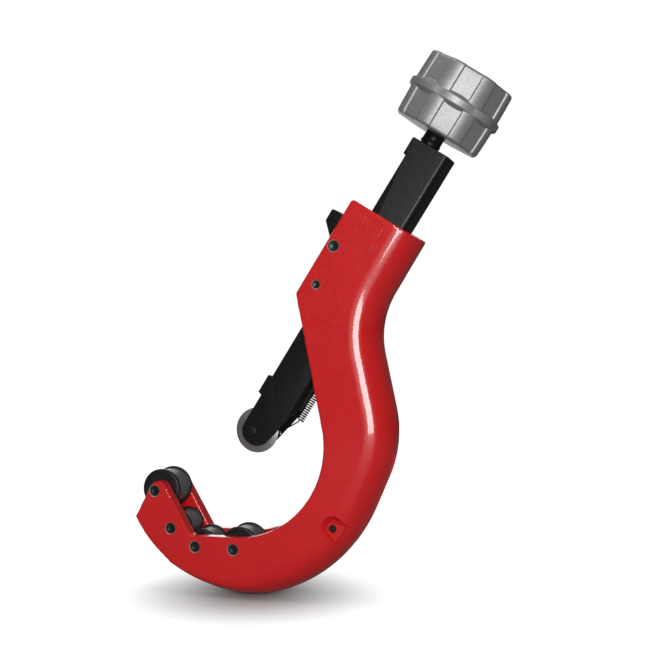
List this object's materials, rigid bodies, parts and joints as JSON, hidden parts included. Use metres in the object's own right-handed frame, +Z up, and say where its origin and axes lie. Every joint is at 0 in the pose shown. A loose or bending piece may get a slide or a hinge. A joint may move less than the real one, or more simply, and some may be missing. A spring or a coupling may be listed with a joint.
{
  "type": "quick-release pipe cutter",
  "caption": "C-frame pipe cutter: a knob and feed screw drive a slide with a cutting wheel toward rollers; a thumb lever frees the slide for fast setting.",
  "frame": {"origin": "centre of the largest pipe that sits on the two outer rollers, midway between the cheeks", "axes": "+Y runs along the pipe and all roller pins; the hook lies in the XZ plane with +Z up, and the feed axis leans 32.5 degrees from +Z towards +X"},
  "size_m": [0.1741, 0.0444, 0.2452],
  "materials": {
    "red_paint": "gloss",
    "black_finish": "satin",
    "roller_steel": "satin",
    "pin_steel": "satin",
    "plain_steel": "satin",
    "wheel_steel": "satin",
    "spring_steel": "satin",
    "cast_metal": "sand cast"
  },
  "bodies": {
    "frame": {"frame": "red_paint", "roller_pins": "pin_steel", "lever_pin": "pin_steel", "stop_pin": "pin_steel", "reamer_screw": "pin_steel", "return_spring": "spring_steel", "lever_spring": "spring_steel"},
    "slide": {"slide": "black_finish", "thrust_block": "black_finish", "tail_block": "black_finish", "wheel_axle": "black_finish", "axle_clip": "plain_steel", "wheel_washers": "plain_steel"},
    "screw": {"feed_screw": "black_finish", "thrust_collar": "plain_steel", "knob_hub": "black_finish", "knob": "cast_metal", "knob_pin": "plain_steel"},
    "wheel": {"cutter_wheel": "wheel_steel"},
    "lever": {"release_lever": "black_finish", "half_nut": "plain_steel", "nut_rivet": "plain_steel"},
    "tip_roller": {"tip_roller": "roller_steel"},
    "front_roller": {"front_roller": "roller_steel"},
    "rear_roller": {"rear_roller": "roller_steel"},
    "heel_roller": {"heel_roller": "roller_steel"},
    "reamer": {"reamer_blade": "plain_steel"}
  },
  "joints": [
    {"name": "slide_feed", "type": "slide", "parent": "frame", "child": "slide", "axis": [0.5373, 0, 0.8434], "range_m": [-0.028, 0.034], "deforming": ["return_spring"]},
    {"name": "screw_turn", "type": "hinge", "parent": "slide", "child": "screw", "pos_m": [0.08637, 0, 0.13557], "axis": [0.5373, 0, 0.8434], "range_deg": [-4032, 4896]},
    {"name": "wheel_spin", "type": "hinge", "parent": "slide", "child": "wheel", "pos_m": [0.0069, 0, 0.01083], "axis": [0, 1, 0], "continuous": true},
    {"name": "lever_release", "type": "hinge", "parent": "frame", "child": "lever", "pos_m": [0.04841, 0, 0.09442], "axis": [0, 1, 0], "range_deg": [0, 6], "deforming": ["lever_spring"]},
    {"name": "tip_roller_spin", "type": "hinge", "parent": "frame", "child": "tip_roller", "pos_m": [-0.03889, 0, -0.0175], "axis": [0, 1, 0], "continuous": true},
    {"name": "front_roller_spin", "type": "hinge", "parent": "frame", "child": "front_roller", "pos_m": [-0.03063, 0, -0.0345], "axis": [0, 1, 0], "continuous": true},
    {"name": "rear_roller_spin", "type": "hinge", "parent": "frame", "child": "rear_roller", "pos_m": [-0.01832, 0, -0.04235], "axis": [0, 1, 0], "continuous": true},
    {"name": "heel_roller_spin", "type": "hinge", "parent": "frame", "child": "heel_roller", "pos_m": [0.00058, 0, -0.04265], "axis": [0, 1, 0], "continuous": true},
    {"name": "reamer_fold", "type": "hinge", "parent": "frame", "child": "reamer", "pos_m": [0.04809, 0, -0.03059], "axis": [0, 1, 0], "range_deg": [0, 95]}
  ],
  "couplings": [
    {"joint": "slide_feed", "follows": "screw_turn", "m_per_rad": 0.00039789}
  ]
}
